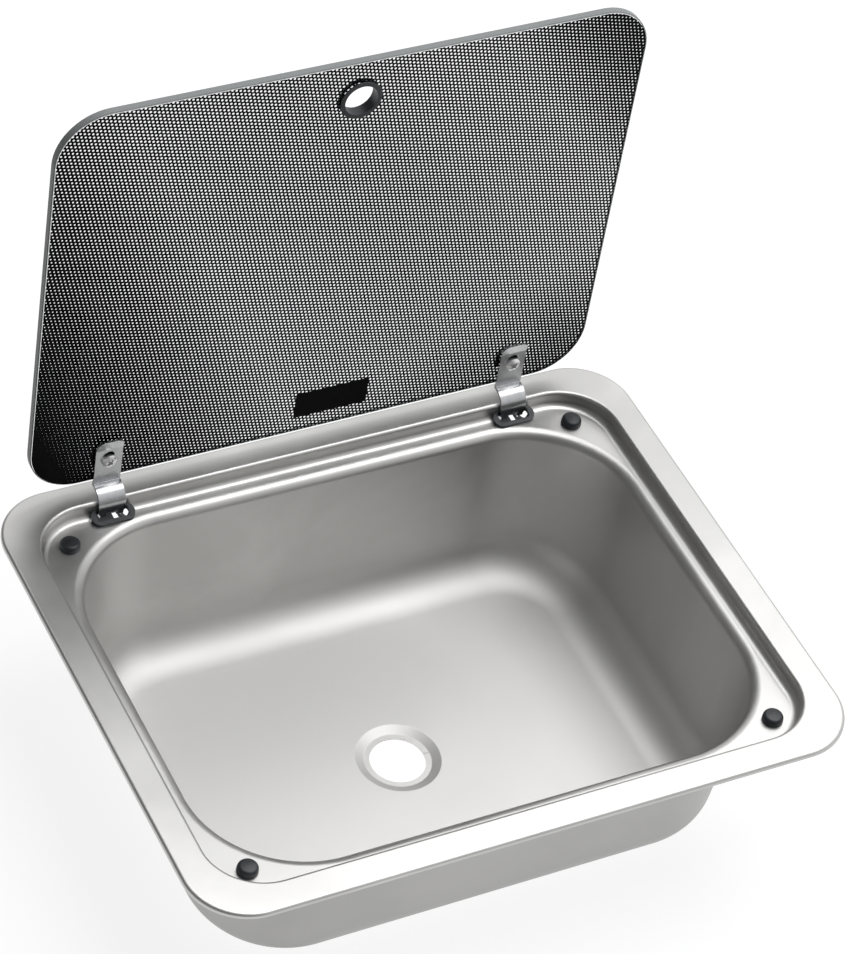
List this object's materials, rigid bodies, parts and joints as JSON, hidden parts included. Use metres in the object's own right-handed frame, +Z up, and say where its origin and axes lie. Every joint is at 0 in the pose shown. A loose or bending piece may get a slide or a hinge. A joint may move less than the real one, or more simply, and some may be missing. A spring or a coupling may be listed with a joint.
{
  "type": "rv sink with glass lid",
  "caption": "Compact inset stainless steel kitchen sink for a caravan or motorhome, with a recessed rim and a hinged dark glass lid that folds flush over the bowl.",
  "frame": {"origin": "below the middle of the rim, on the level of the underside of the pressed waste seat, the lowest point", "axes": "+X to the user's right, +Y to the back where the hinges are, +Z up; the lid stands open in the plane of X and Z"},
  "size_m": [0.41, 0.33, 0.4095],
  "materials": {
    "satin_steel": "satin",
    "bright_steel": "bright",
    "black_rubber": "matt",
    "black_plastic": "satin",
    "dark_glass": "polished, printed on its inner face"
  },
  "bodies": {
    "sink": {"sink_basin": "satin_steel", "pad_front_left": "black_rubber", "pad_front_right": "black_rubber", "pad_rear_left": "black_rubber", "pad_rear_right": "black_rubber", "slot_grommet_left": "black_plastic", "slot_grommet_right": "black_plastic", "hinge_bracket_left": "bright_steel", "hinge_bracket_right": "bright_steel", "hinge_pin_left": "bright_steel", "hinge_pin_right": "bright_steel", "pin_clip_left": "bright_steel", "pin_clip_right": "bright_steel"},
    "lid": {"glass_lid": "dark_glass", "finger_ring": "black_rubber", "hinge_strap_left": "bright_steel", "hinge_strap_right": "bright_steel", "strap_gasket_left": "black_rubber", "strap_gasket_right": "black_rubber", "strap_screw_left": "bright_steel", "strap_screw_right": "bright_steel", "glass_bush_left": "black_plastic", "glass_bush_right": "black_plastic", "glass_cap_left": "bright_steel", "glass_cap_right": "bright_steel"}
  },
  "joints": [
    {"name": "lid_hinge", "type": "hinge", "parent": "sink", "child": "lid", "pos_m": [0, 0.1537, 0.1124], "axis": [1, 0, 0], "range_deg": [0, 90]}
  ]
}
